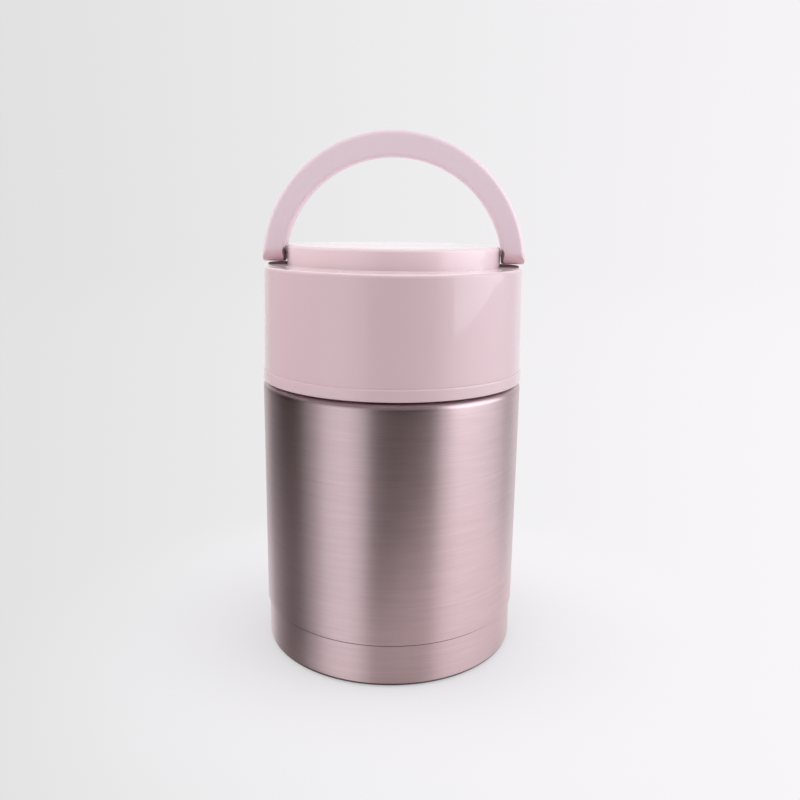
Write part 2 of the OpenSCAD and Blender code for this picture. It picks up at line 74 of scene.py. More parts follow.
# Angles in degrees, places in metres, the lens in millimetres.
VIEW_SIDE, VIEW_DOWN, VIEW_YAW, VIEW_ROLL = 2.4, 12.83, 0.59, 0.75
VIEW_DISTANCE, VIEW_HEIGHT, LENS = 0.3348, 0.1773, 37.13
view_turn = math.radians(VIEW_SIDE)
camera_data = bpy.data.cameras.new("camera")
camera_data.lens = LENS
camera_data.clip_start = 0.01
camera = bpy.data.objects.new("camera", camera_data)
bpy.context.scene.collection.objects.link(camera)
bpy.context.scene.camera = camera
stand = np.eye(4)
stand[:3, :3] = np.stack(camera_axes(*np.radians([VIEW_DOWN, VIEW_YAW - VIEW_SIDE, VIEW_ROLL])), axis=1)
stand[:3, 3] = (VIEW_DISTANCE * math.sin(view_turn), -VIEW_DISTANCE * math.cos(view_turn), VIEW_HEIGHT)
camera.matrix_world = Matrix(stand.tolist())
print("camera at", [round(v, 4) for v in camera.location], "with a lens of", round(camera_data.lens, 2), "mm")

# %% [markdown]
# ## Sizes
#
# The surfaces below are drawn from the same few sizes as the solids. Millimetres are easier to
# read, so MM turns them into metres.

# %% Sizes of the jar
MM = 0.001
COLUMNS = 256
SHARP = 40.0

jar_r, shell_wall, base_show_h, shoulder_z = 52.35, 0.6, 17.7, 110.8
neck_r, mouth_z, lip_t = 44.5, 134.0, 1.2
cap_r, cap_top_z, cap_wall, foot_recess, foot_in_r = 51.7, 23.7, 0.6, 1.5, 46.0
lid_r, lid_z, rim_h, rim_step, ledge_z = 52.5, 111.8, 4.7, 0.35, 156.4
lid_top_r, lid_in_r, lid_bore_r, ceiling_z, ceiling_top_z = 51.25, 49.05, 46.8, 141.35, 143.55
groove_in_r, groove_out_r, groove_d, liner_gap = 39.44, 43.85, 1.0, 0.05
plateau_half_w, arch_drop, plateau_z, lid_wall = 42.7, 7.6, 164.4, 2.2
hinge_z, leg_r, leg_gap, leg_w, crown_w = 161.9, 4.3, 0.5, 8.6, 10.1
leg_hub_r, leg_hub_gap, leg_hub_edge, leg_hub_l = 4.2, 0.4, 0.3, 3.0
rib_tuck, rib_short, rib_fall, rib_sunk = 0.8, 1.6, 0.55, 0.3
coil_h = 7.1
thread_pitch, thread_turns, neck_thread_z = 5.0, 1.4, 116.8

side_slope = 1.25 / 44.6
rim_top_z, rim_top_r = lid_z + rim_h, lid_r - side_slope * rim_h
plateau_r = math.hypot(plateau_half_w, arch_drop)
arch_in_r, arch_in_z = plateau_r + leg_gap, hinge_z - arch_drop
leg_out_x = math.sqrt(arch_in_r**2 - arch_drop**2) + leg_w
crown_h = arch_in_r - arch_drop + crown_w
arch_r = (leg_out_x**2 + crown_h**2) / (2 * crown_h)
arch_z = hinge_z + crown_h - arch_r
print("the arch's outer circle has a radius of", round(arch_r, 3), "at a height of", round(arch_z, 3))

# %% [markdown]
# ## From a formula to a mesh
#
# Almost every piece here is turned on a lathe or drawn along a path, so one helper is enough. It
# takes a grid of points, row after row, and joins neighbouring points with four-sided faces. A
# turned piece needs a profile with rounded corners: a real edge always has a small radius, and it
# is that radius that catches the light.

# %% Grid of points to mesh
def surface(name, grid, loop=False, start=None, end=None):
    """A mesh object from a (rows, columns, 3) array in mm. Every row closes on itself, the last
    row joins the first where loop is true, and a start or end point closes the piece with a fan.
    Edges that bend by more than SHARP degrees stay sharp."""
    rows, columns = grid.shape[:2]
    index = np.arange(rows * columns).reshape(rows, columns)
    low = index if loop else index[:-1]
    high = np.roll(index, -1, axis=0) if loop else index[1:]
    quads = np.stack([low, np.roll(low, -1, axis=1), np.roll(high, -1, axis=1), high], axis=-1)
    faces = quads.reshape(-1, 4).tolist()
    points = grid.reshape(-1, 3)
    for pole, row, step in ((start, index[0], 1), (end, index[-1], -1)):
        if pole is not None:
            fan = np.stack([np.full(columns, len(points)), np.roll(row, -1), row], axis=-1)
            faces += fan[:, ::step].tolist()
            points = np.vstack([points, pole])
    mesh = bpy.data.meshes.new(name)
    mesh.from_pydata((points * MM).tolist(), [], faces)
    mesh.polygons.foreach_set("use_smooth", np.ones(len(mesh.polygons), dtype=bool))
    mesh.set_sharp_from_angle(angle=math.radians(SHARP))
    piece = bpy.data.objects.new(name, mesh)
    bpy.context.scene.collection.objects.link(piece)
    print(name, "has", len(faces), "faces")
    return piece


# %% Profiles with rounded corners
def rounded(corners, closed=False, steps=7):
    """Points of a profile whose corners (r, z, f) are rounded by f. With unit vectors a and b from
    a corner to its neighbours and an angle of 2h between them, the arc's centre is f / sin h away
    along a + b, and the arc runs between the points f / tan h away along a and along b."""
    corners = np.asarray(corners, dtype=float)
    points, radii = corners[:, :2], corners[:, 2:]
    a, b = (np.roll(points, shift, axis=0) - points for shift in (1, -1))
    a, b = (v / np.linalg.norm(v, axis=1, keepdims=True) for v in (a, b))
    half = np.arccos(np.clip(np.sum(a * b, axis=1, keepdims=True), -1, 1)) / 2
    middle = (a + b) / np.maximum(np.linalg.norm(a + b, axis=1, keepdims=True), 1e-9)
    centre = points + middle * radii / np.sin(half)
    first = points + a * radii / np.tan(half) - centre
    last = points + b * radii / np.tan(half) - centre
    s, sweep = np.linspace(0, 1, steps)[:, None, None], np.pi - 2 * half
    swing = np.sin((1 - s) * sweep) * first + np.sin(s * sweep) * last
    arcs = centre + swing / np.maximum(np.sin(sweep), 1e-9)
    ends = [] if closed else [0, len(points) - 1]
    return np.vstack([
        points[i][None] if radii[i, 0] == 0 or i in ends else arcs[:, i] for i in range(len(points))
    ])


def finer(profile, step=3.0, closed=False, wall=None, wall_step=0.25):
    """The profile with points added so that no run is longer than the step, or than the wall's
    step where a run lies on the radius of that wall."""
    ahead = np.roll(profile, -1, axis=0) if closed else profile[1:]
    runs = []
    for p, q in zip(profile, ahead):
        on_wall = wall is not None and abs(p[0] - wall) + abs(q[0] - wall) < 0.01
        count = max(1, math.ceil(np.linalg.norm(q - p) / (wall_step if on_wall else step)))
        runs.append(p + (q - p) * np.arange(count)[:, None] / count)
    return np.vstack(runs if closed else runs + [profile[-1:]])


def turned(name, profile, ridge=None):
    """A turned piece. Angle a and profile point (r, z) give (r cos a, r sin a, z); a ridge adds
    ridge(a, z, r) to r. A profile from axis to axis gets poles, and any other one is a loop."""
    on_axis = profile[0, 0] == 0
    r, z = (profile[1:-1] if on_axis else profile).T[:, :, None]
    a = np.linspace(0, 2 * np.pi, COLUMNS, endpoint=False)[None]
    if ridge:
        r = r + ridge(a, z, r)
    grid = np.stack(np.broadcast_arrays(r * np.cos(a), r * np.sin(a), z), axis=-1)
    start, end = ((0, 0, profile[i, 1]) if on_axis else None for i in (0, -1))
    return surface(name, grid, not on_axis, start, end)


# %% [markdown]
# ## The steel jar and its base
#
# The shell is one drawn steel tube: straight sides, a tight shoulder and a neck with a rolled
# thread. It could be cut with a screw modifier, but a thread is simply a ridge whose height depends
# on the angle and the height, so the turned profile can carry it. The base cap is a separate
# pressed cup. It sits a hair inside the shell, which leaves a thin seam near the table. The seam's
# dark line, and a dark line at the foot, are painted shade in the base's finish.

# %% Screw thread as a ridge
def thread_ridge(wall_r, start_z, depth):
    """Height of a thread on a wall of that radius. Its middle climbs by one pitch a turn from
    start_z, its flanks fall from full height to none between 0.5 and 1.04 mm from the middle, and
    it grows and fades over the first and last 20 degrees."""
    def ridge(a, z, r):
        height = np.zeros(np.broadcast_shapes(a.shape, z.shape))
        for turn in range(math.ceil(thread_turns)):
            wound = a / (2 * np.pi) + turn
            off = np.abs(z - start_z - thread_pitch * wound)
            fade = np.clip(np.minimum(wound, thread_turns - wound) * 18, 0, 1)
            height = np.maximum(height, np.clip((1.04 - off) / 0.54, 0, 1) * fade)
        return depth * height * (np.abs(r - wall_r) < 0.02)
    return ridge


# %% Steel shell and base cap
shell_in_r, neck_in_r = jar_r - shell_wall, neck_r - shell_wall
shell_profile = rounded([
    (jar_r, base_show_h, 0.3), (jar_r, shoulder_z, 2.3), (neck_r, shoulder_z, 0.5),
    (neck_r, mouth_z - lip_t, 0), (neck_in_r, mouth_z - lip_t, 0),
    (neck_in_r, shoulder_z - shell_wall, 0.3), (shell_in_r, shoulder_z - shell_wall, 1.7),
    (shell_in_r, base_show_h, 0),
], closed=True, steps=10)
steel_shell = turned(
    "steel_shell", finer(shell_profile, closed=True, wall=neck_r), thread_ridge(neck_r, neck_thread_z, 1.0))
base_profile = rounded([
    (0, foot_recess, 0), (foot_in_r, foot_recess, 0.6), (foot_in_r, 0, 0.5), (cap_r, 0, 2.2),
    (cap_r, cap_top_z, 0.1), (cap_r - cap_wall, cap_top_z, 0.1), (cap_r - cap_wall, cap_wall, 1.6),
    (foot_in_r + cap_wall, cap_wall, 0.3), (foot_in_r + cap_wall, foot_recess + cap_wall, 0.6),
    (0, foot_recess + cap_wall, 0),
], steps=10)
steel_base = turned("steel_base", finer(base_profile))

# %% [markdown]
# ## The lid
#
# The lid's shell is round up to the ledge, and its raised middle is bounded by two arcs that follow
# the folded handle. Both are one surface of two parameters: the profile runs from the middle of the
# top to the rim and back inside, and where it belongs to the raised middle its radius is replaced by
# the distance to the outline at that angle. That keeps the rounded top edge even all the way round.

# %% Lid shell
def middle_outline(angle, radius):
    """Distance from the axis to the raised middle's outline. Two discs of that radius, with their
    centres d in front of and behind the axis, overlap out to sqrt(R² - d² cos² a) - d |sin a|."""
    return np.sqrt(radius**2 - (arch_drop * np.cos(angle)) ** 2) - arch_drop * np.abs(np.sin(angle))


def lid_surface(name, profile, is_middle):
    """Points (r cos a, r sin a, z) with r from the profile on the round part, and from the outline
    of discs of that radius on the raised middle, where radii under the limit q scale the outline of
    q by r / q. Poles close the top and the ceiling."""
    a = np.linspace(0, 2 * np.pi, 2 * COLUMNS, endpoint=False)[None]
    r, z = profile.T[:, :, None]
    limit = plateau_r - lid_wall - 1
    outline = middle_outline(a, np.maximum(r, limit)) * np.minimum(r / limit, 1)
    spread = np.where(is_middle[:, None], outline, r)
    grid = np.stack(np.broadcast_arrays(spread * np.cos(a), spread * np.sin(a), z), axis=-1)
    return surface(name, grid, start=(0, 0, profile[0, 1]), end=(0, 0, profile[-1, 1]))


roof_z = ledge_z - lid_wall
lid_profile = finer(rounded([
    (1, plateau_z - lid_wall, 0), (plateau_r - lid_wall, plateau_z - lid_wall, 0.4),
    (plateau_r - lid_wall, roof_z, 0), (lid_in_r, roof_z, 0.4), (lid_in_r, rim_top_z, 0.1),
    (rim_top_r - rim_step, rim_top_z, 0.1), (lid_top_r, ledge_z, 1.3), (plateau_r, ledge_z, 0.25),
    (plateau_r, plateau_z, 1.4), (1, plateau_z, 0),
], steps=12))
over_ledge = lid_profile[:, 1] > ledge_z + 0.3
inside_wall = (lid_profile[:, 0] < plateau_r + 0.3) & (lid_profile[:, 1] > roof_z - 0.01)
lid_cover = lid_surface("lid_cover", lid_profile, over_ledge | inside_wall)

# %% Lid liner with its rim band
# The band's upper edge is an arc of 1 mm that turns in as far as the step to the lid's shell.
bend = np.linspace(0, math.acos(1 - rim_step), 8)
band_edge = np.stack([rim_top_r - 1 + np.cos(bend), rim_top_z - math.sin(bend[-1]) + np.sin(bend)], axis=1)
liner_profile = rounded([
    (0, ceiling_z, 0), (groove_in_r, ceiling_z, 0.2), (groove_in_r, ceiling_z + groove_d, 0.2),
    (groove_out_r, ceiling_z + groove_d, 0.2), (groove_out_r, ceiling_z, 0.2), (lid_bore_r, ceiling_z, 0.4),
    (lid_bore_r, lid_z, 0.3), (lid_r, lid_z, 0.6), *((r, z, 0) for r, z in band_edge),
    (lid_in_r - liner_gap, rim_top_z, 0), (lid_in_r - liner_gap, ceiling_top_z, 0.3), (0, ceiling_top_z, 0),
], steps=9)
lid_rim = turned(
    "lid_rim", finer(liner_profile, wall=lid_bore_r),
    thread_ridge(lid_bore_r, neck_thread_z - thread_pitch / 2, -1.0))

# %% Low ribs on the ledge
def rib(name, side, width=3.6, lift=1.12):
    """A rib under a leg: a superellipse loop x = mx + ax |cos|^q sign, y = ay |sin|^q sign, drawn at
    four heights, the upper ones pulled in by the rounding of its edge. With s from 0 at the raised
    middle to 1 at the outer end, the height falls by rib_fall s³."""
    a = np.linspace(0, 2 * np.pi, 96, endpoint=False)[None]
    low_x, high_x = plateau_half_w - rib_tuck, leg_out_x - rib_short
    middle_x, half_l = (low_x + high_x) / 2, (high_x - low_x) / 2
    cos_a, sin_a = np.cos(a), np.sin(a)
    pull = np.array([0, 0, 0.12, 0.35])[:, None]
    z = ledge_z + np.array([-rib_sunk, lift - 0.35, lift - 0.1, lift])[:, None]
    x = side * middle_x + (half_l - pull) * np.sign(cos_a) * np.abs(cos_a) ** 0.4
    y = (width / 2 - pull) * np.sign(sin_a) * np.abs(sin_a) ** 0.4
    fall = rib_fall * ((side * x - low_x) / (high_x - low_x)) ** 3 * (z > ledge_z)
    grid = np.stack(np.broadcast_arrays(x, y, z - fall), axis=-1)
    # The closing point lies as low as the top row does at the rib's middle, where s is a half.
    return surface(name, grid, end=(side * middle_x, 0, ledge_z + lift - 0.07))


ribs = [rib(f"leg_rib_{label}", side) for label, side in (("left", -1), ("right", 1))]

# %% [markdown]
# ## The handle
#
# The handle is a flat section swept along an arch, with round ends that roll over the ledge as it
# swings. Its inner and outer circles have different centres, which makes the crown a little stronger
# than the legs. The sweep is written out: each point of the section climbs from the round end, over
# the arch, to the other round end.

# %% Handle
LEG_FOOT = hinge_z - leg_r


def from_foot(angle, radius, centre_z):
    """Distance at that angle from a point on the axis at the legs' feet to a circle whose centre is
    h higher: sqrt(R² - h² cos² t) + h sin t."""
    rise = centre_z - LEG_FOOT
    return np.sqrt(radius**2 - (rise * np.cos(angle)) ** 2) + rise * np.sin(angle)


def arch_reach(share, angle):
    """Distance from that point to a share of the way from the inner circle to the outer one."""
    inner = from_foot(angle, arch_in_r, arch_in_z)
    return inner + share * (from_foot(angle, arch_r, arch_z) - inner)


def end_height(share, depth, soft):
    """Height of a leg's lower end: a half round z = hinge - sqrt(R² - y²) about the hinge axis. Near
    the inner and outer faces, at a distance d under e, it is lifted by e - sqrt(e² - (e - d)²)."""
    half_round = hinge_z - np.sqrt(np.maximum(leg_r**2 - depth**2, 0))
    d = leg_w * np.minimum(share, 1 - share)
    return half_round + soft - np.sqrt(soft**2 - np.clip(soft - d, 0, soft) ** 2)


def swept_handle(name, soft=0.4):
    """Rows of the section (share of the width, depth y) at even steps of the angle t between both
    ends: (reach cos t, y, foot + reach sin t). A row starts where reach sin t is the end's height,
    and each end is closed by rows that shrink the section towards its middle on that height."""
    section = finer(rounded([
        (0, -leg_r, 1.2), (leg_w, -leg_r, 1.7), (leg_w, leg_r, 1.7), (0, leg_r, 1.2),
    ], closed=True, steps=10), 0.6, closed=True)
    share, depth = section[:, 0] / leg_w, section[:, 1]

    def end_rows(share, depth):
        lift = end_height(share, depth, soft) - LEG_FOOT
        t = 0 * lift
        for _ in range(8):
            t = np.arcsin(lift / arch_reach(share, t))
        return t

    start = end_rows(share, depth)
    t = start + (np.pi - 2 * start) * np.linspace(0, 1, 161)[:, None]
    grow = np.sin(np.linspace(0.08, 0.99, 14) * np.pi / 2)[:, None]
    cap_share, cap_depth = 0.5 + grow * (share - 0.5), grow * depth
    cap_t = end_rows(cap_share, cap_depth)
    share, depth, t = (np.concatenate([near, np.broadcast_to(row, t.shape), far]) for near, row, far in (
        (cap_share, share, cap_share[::-1]),
        (cap_depth, depth, cap_depth[::-1]),
        (cap_t, t, np.pi - cap_t[::-1]),
    ))
    reach = arch_reach(share, t)
    grid = np.stack([reach * np.cos(t), depth, LEG_FOOT + reach * np.sin(t)], axis=-1)
    pole = np.array([arch_reach(0.5, 0.0), 0, LEG_FOOT])
    return surface(name, grid, start=pole, end=pole * (-1, 1, 1))


carry_arch = swept_handle("carry_arch")

# %% Hubs on the legs
def leg_hub(name, side):
    """A short round bar along the hinge axis: rings (x, R cos a, R sin a) whose radius R shrinks by
    e - sqrt(e² - (e - d)²) within the edge's rounding e of the flat end."""
    a = np.linspace(0, 2 * np.pi, 96, endpoint=False)[None]
    face_x, edge = plateau_half_w + leg_hub_gap, leg_hub_edge
    d = np.concatenate([edge * (1 - np.cos(np.linspace(0, np.pi / 2, 6))), [leg_hub_l]])[:, None]
    ring = leg_hub_r - edge + np.sqrt(edge**2 - np.clip(edge - d, 0, edge) ** 2)
    x = side * (face_x + d) + 0 * a
    grid = np.stack(np.broadcast_arrays(x, ring * np.cos(a), hinge_z + side * ring * np.sin(a)), axis=-1)
    return surface(name, grid, start=(side * face_x, 0, hinge_z))


hubs = [leg_hub(f"leg_hub_{label}", side) for label, side in (("left", -1), ("right", 1))]

# %% [markdown]
# ## The vent's spring
#
# A small coil spring pushes the vent's button up. It is a wire along a helix, and it is drawn again
# here because a smooth wire can be squashed: when the button goes down, the spring gets shorter.

# %% Spring
def coil(name, radius=5.6, wire=0.4, turns=4, low_z=131.5, height=coil_h):
    """At share s of its length the wire's middle is at (R cos a, R sin a) with a = 2 pi turns s, and
    climbs from one wire radius above the foot to one below the top. Its rings run outwards and down."""
    s = np.linspace(0, 1, 48 * turns + 1)[:, None]
    a, b = 2 * np.pi * turns * s, np.linspace(0, 2 * np.pi, 16, endpoint=False)[None]
    middle_z = low_z + wire + (height - 2 * wire) * s
    out = radius + wire * np.cos(b)
    z = middle_z - wire * np.sin(b)
    grid = np.stack(np.broadcast_arrays(out * np.cos(a), out * np.sin(a), z), axis=-1)
    return surface(name, grid, start=(radius, 0, middle_z[0, 0]), end=(radius, 0, middle_z[-1, 0]))


vent_coil = coil("vent_coil")

# %% [markdown]
# ## What moves with what
#
# Each new piece rides on the body that its solid belongs to, and stands for that solid, which is
# hidden. Ribs and hubs are trim, so they ride along and stand for nothing. The spring also gets a
# mesh of its own. The button goes down by 2 mm, but nothing here makes the spring shorter.

# %% Riding and replacing
for piece, body, node, slot in (
    (steel_shell, "jar", "outer_shell", "rose_steel"),
    (steel_base, "jar", "base_cap", "rose_steel"),
    (lid_cover, "lid", "lid_shell", "pink_plastic"),
    (lid_rim, "lid", "lid_liner", "pink_plastic"),
    (carry_arch, "carry_handle", "handle", "pink_plastic"),
    (vent_coil, "stopper", "vent_spring", "bright_steel"),
):
    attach(piece, body)
    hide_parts(node)
for piece, body in [(piece, "lid") for piece in ribs] + [(piece, "carry_handle") for piece in hubs]:
    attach(piece, body)
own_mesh(vent_coil)

# %% [markdown]
# ## Finishes
#
# A shader is a small network, and most finishes share the same steps, so a short helper adds a node,
# sets its options and joins its sockets in one line. Effects that several materials use are node
# groups: they are built once and placed in each material with that material's own numbers.

# %% Helpers for shader networks
def add(tree, kind, sockets=None, **options):
    """One shader node with its options set. Each named socket gets a value or a link."""
    made = tree.nodes.new("ShaderNode" + kind)
    for option, value in options.items():
        setattr(made, option, value)
    for socket, value in (sockets or {}).items():
        if isinstance(value, bpy.types.NodeSocket):
            tree.links.new(value, made.inputs[socket])
        else:
            made.inputs[socket].default_value = value
    return made


def maths(tree, operation, *values):
    """The output of a Math node."""
    return add(tree, "Math", dict(enumerate(values)), operation=operation).outputs[0]


def scaled(tree, value, factor, base):
    """base + factor times the value."""
    return maths(tree, "ADD", base, maths(tree, "MULTIPLY", factor, value))


def fade(tree, value, low, high):
    """0 at the low value, 1 at the high one, and a smooth step between them."""
    sockets = {"Value": value, "From Min": low, "From Max": high}
    return add(tree, "MapRange", sockets, interpolation_type="SMOOTHSTEP").outputs[0]


def mapped(tree, value, low, high, to_low=0.0, to_high=1.0):
    """The value carried over in a straight line from low..high to the other two."""
    sockets = {"Value": value, "From Min": low, "From Max": high, "To Min": to_low, "To Max": to_high}
    return add(tree, "MapRange", sockets).outputs[0]


def noise(tree, where, scale, detail, roughness=0.5):
    """The grey value of a Noise texture."""
    sockets = {"Vector": where, "Scale": scale, "Detail": detail, "Roughness": roughness}
    return add(tree, "TexNoise", sockets).outputs["Fac"]


def mixed(tree, share, first, second):
    """The first colour with that share of the second."""
    return add(tree, "Mix", {0: share, 6: first, 7: second}, data_type="RGBA").outputs[2]


def blended(tree, share, first, second):
    """The first shader with that share of the second."""
    return add(tree, "MixShader", {0: share, 1: first, 2: second}).outputs[0]


def effect(name, inputs, outputs):
    """An empty node group. Inputs map a name to its socket type and default, outputs to a type."""
    group = bpy.data.node_groups.new(name, "ShaderNodeTree")
    for label, (kind, default) in inputs.items():
        socket = group.interface.new_socket(label, in_out="INPUT", socket_type="NodeSocket" + kind)
        if default is not None:
            socket.default_value = default
    for label, kind in outputs.items():
        group.interface.new_socket(label, in_out="OUTPUT", socket_type="NodeSocket" + kind)
    print("effect", name, "puts out", list(outputs))
    return group, group.nodes.new("NodeGroupInput").outputs, group.nodes.new("NodeGroupOutput")


def place(tree, group, **sockets):
    """The outputs of a node group placed in a material, its inputs named with _ for a space."""
    made = tree.nodes.new("ShaderNodeGroup")
    made.node_tree = group
    for label, value in sockets.items():
        socket = made.inputs[label.replace("_", " ")]
        if isinstance(value, bpy.types.NodeSocket):
            tree.links.new(value, socket)
        else:
            socket.default_value = value
    return made.outputs


def material(name, **fixed):
    """A Principled material, its tree, its shader node and the object's own coordinates."""
    made = bpy.data.materials.new(name)
    made.use_nodes = True
    tree = made.node_tree
    shader = tree.nodes["Principled BSDF"]
    for socket, value in fixed.items():
        shader.inputs[socket.replace("_", " ")].default_value = value
    return made, tree, shader, add(tree, "TexCoord").outputs["Object"]


def dress(piece, finish):
    """Gives a piece its finish."""
    piece.data.materials.clear()
    piece.data.materials.append(finish)


# %% [markdown]
# ### Brushed lines
#
# The steel is brushed while it turns, so its fine lines run round it. Noise that is stretched far
# across the jar and squeezed along its height gives such lines on any turned piece. Two layers, one
# fine and one five times as broad, keep them alive both close up and from afar.

# %% Effect: brushed lines
brushed_lines, given, result = effect(
    "brushed_lines",
    {"Position": ("Vector", None), "Line width": ("Float", 0.00025), "Line length": ("Float", 0.02)},
    {"Lines": "Float", "Cloud": "Float"})
layers = []
along = maths(brushed_lines, "DIVIDE", 1.0, given["Line length"])
for width_factor, detail in ((1.0, 3.0), (5.0, 2.0)):
    width = maths(brushed_lines, "MULTIPLY", given["Line width"], width_factor)
    across = maths(brushed_lines, "DIVIDE", 1.0, width)
    stretch = add(brushed_lines, "CombineXYZ", {"X": along, "Y": along, "Z": across}).outputs[0]
    where = add(brushed_lines, "VectorMath", {0: given["Position"], 1: stretch}, operation="MULTIPLY")
    layers.append(noise(brushed_lines, where.outputs[0], 1.0, detail))
fine, broad = (maths(brushed_lines, "MULTIPLY", layer, share) for layer, share in zip(layers, (0.6, 0.4)))
lines = maths(brushed_lines, "ADD", fine, broad)
cloud = noise(brushed_lines, given["Position"], 60.0, 4.0)
for label, value in (("Lines", lines), ("Cloud", cloud)):
    brushed_lines.links.new(value, result.inputs[label])

# %% [markdown]
# ### Handling
#
# Nothing that is used stays evenly glossy. Soft clouds stand for the faint film that hands leave,
# and rare pale specks for dust. Both are quiet, but a surface without them looks computed.

# %% Effect: handling
handling, given, result = effect(
    "handling", {"Position": ("Vector", None), "Speck size": ("Float", 0.0004)},
    {"Film": "Float", "Specks": "Float", "Grain": "Float"})
film = noise(handling, given["Position"], 28.0, 3.0, roughness=0.6)
CELLS_PER_METRE, BARE_CELLS = 90.0, 0.93
sockets = {"Vector": given["Position"], "Scale": CELLS_PER_METRE}
cells = add(handling, "TexVoronoi", sockets, feature="F1").outputs
reach = maths(handling, "MULTIPLY", given["Speck size"], CELLS_PER_METRE)
near = maths(handling, "LESS_THAN", cells["Distance"], reach)
pick = add(handling, "SeparateColor", {0: cells["Color"]}).outputs[0]
specks = maths(handling, "MULTIPLY", near, maths(handling, "GREATER_THAN", pick, BARE_CELLS))
grain = noise(handling, given["Position"], 4000.0, 1.0)
for label, value in (("Film", film), ("Specks", specks), ("Grain", grain)):
    handling.links.new(value, result.inputs[label])

# %% [markdown]
# ### Steel
#
# Brushing spreads a reflection across its lines, so a brushed cylinder shows long vertical bands of
# light and dark. The Principled shader does this with its Anisotropic value and a tangent that runs
# round the piece, turned by a quarter. The lines themselves tint the colour a little, vary the
# roughness and stand a few microns proud through a Bump node.

# %% Steel finishes
def steel(name, colour, roughness, anisotropy, line_width, bump, dark_bands=()):
    """Brushed steel: colour times (0.93 to 1.07) by its lines, roughness plus or minus 0.05 at most
    by its lines and clouds. Each dark band lies between two heights and is painted shade: it takes
    away 85 percent of the colour and has an edge of 0.2 mm."""
    tint_reach, uneven, painted_shade_share, band_edge = 0.07, 0.05, 0.85, 0.0002
    made, tree, shader, position = material(
        name, Metallic=1.0, Anisotropic=anisotropy, Anisotropic_Rotation=0.25)
    brushed = place(tree, brushed_lines, Position=position, Line_width=line_width)
    tint = mapped(tree, brushed["Lines"], 0.3, 0.7, 1 - tint_reach, 1 + tint_reach)
    # Painted shade: each dark band darkens the colour between its two heights.
    for low, high in dark_bands:
        height = add(tree, "SeparateXYZ", {0: position}).outputs["Z"]
        rises, falls = fade(tree, height, low, low + band_edge), fade(tree, height, high + band_edge, high)
        kept = scaled(tree, maths(tree, "MULTIPLY", rises, falls), -painted_shade_share, 1.0)
        tint = maths(tree, "MULTIPLY", tint, kept)
    base = add(tree, "VectorMath", {0: (*colour,), 3: tint}, operation="SCALE")
    tree.links.new(base.outputs[0], shader.inputs["Base Color"])
    rough = maths(tree, "MULTIPLY", maths(tree, "ADD", brushed["Lines"], brushed["Cloud"]), uneven)
    tree.links.new(maths(tree, "ADD", rough, roughness - uneven), shader.inputs["Roughness"])
    relief = add(tree, "Bump", {"Height": brushed["Lines"], "Strength": 1.0, "Distance": bump})
    tree.links.new(relief.outputs[0], shader.inputs["Normal"])
    around = add(tree, "Tangent", direction_type="RADIAL", axis="Z").outputs[0]
    tree.links.new(around, shader.inputs["Tangent"])
    return made


ROSE = (0.70, 0.555, 0.58)
# Painted shade on the base: a dark line just under the shell's overhanging edge, and one at the foot where it
# meets the table.
SEAM_PAINTED_SHADE, FOOT_PAINTED_SHADE = (0.0171, 0.0175), (-0.001, 0.0015)
rose_steel = steel("rose_steel_finish", ROSE, 0.32, 0.667, 0.0003, 0.000002)
rose_base = steel("rose_base_finish", ROSE, 0.32, 0.667, 0.0003, 0.000002, (SEAM_PAINTED_SHADE, FOOT_PAINTED_SHADE))
bright_steel = steel("bright_steel_finish", (0.78, 0.78, 0.77), 0.30, 0.7, 0.0003, 0.000001)
getter_metal = steel("getter_finish", (0.32, 0.31, 0.30), 0.55, 0.0, 0.0002, 0.000004)

# %% [markdown]
# ### Plastic, silicone and foam
#
# The lid is moulded in one glossy pink: a clear coat over an even colour, with a little sheen that
# lightens it towards the edges. Two zones of painted light and shade follow the height. The lid is
# painted paler from the ledge up, as painted light on its raised top, and the ends of the handle's
# legs are painted darker, as painted shade where they curve under towards the ledge. The ribs and
# hubs beside the legs are a dark maroon that is painted shade. The stopper is paler and satin, and
# the seals are soft silicone.

# %% Plastic finishes
DUST = (0.95, 0.93, 0.92, 1)


def plastic(name, colour, roughness, coat, sheen=0.0, film=0.05, bump=0.000004, zone=None):
    """Moulded plastic: the film of handling tints the colour by 2 percent and roughens the gloss,
    specks of dust lighten it, and the mould's grain stands a few microns proud. A zone (low, high,
    share, colour) mixes in another colour, from none of it at the first height to that share of it
    at the second one. The zones in use are painted light and painted shade."""
    made, tree, shader, position = material(
        name, Coat_Weight=coat, Coat_Roughness=0.03, Sheen_Weight=sheen, Sheen_Roughness=0.5, IOR=1.5)
    touched = place(tree, handling, Position=position)
    tint = mapped(tree, touched["Film"], 0.0, 1.0, 0.98, 1.02)
    # The zone paints light or shade into the colour by height.
    if zone:
        low, high, most, other = zone
        height = add(tree, "SeparateXYZ", {0: position}).outputs["Z"]
        share = maths(tree, "MULTIPLY", most, fade(tree, height, low, high))
        colour = mixed(tree, share, (*colour, 1), (*other, 1))
    base = add(tree, "VectorMath", {0: colour, 3: tint}, operation="SCALE").outputs[0]
    dusty = mixed(tree, maths(tree, "MULTIPLY", touched["Specks"], 0.5), base, DUST)
    tree.links.new(dusty, shader.inputs["Base Color"])
    tree.links.new(scaled(tree, touched["Film"], film, roughness - film / 2), shader.inputs["Roughness"])
    relief = add(tree, "Bump", {"Height": touched["Grain"], "Strength": 0.3, "Distance": bump})
    tree.links.new(relief.outputs[0], shader.inputs["Normal"])
    return made


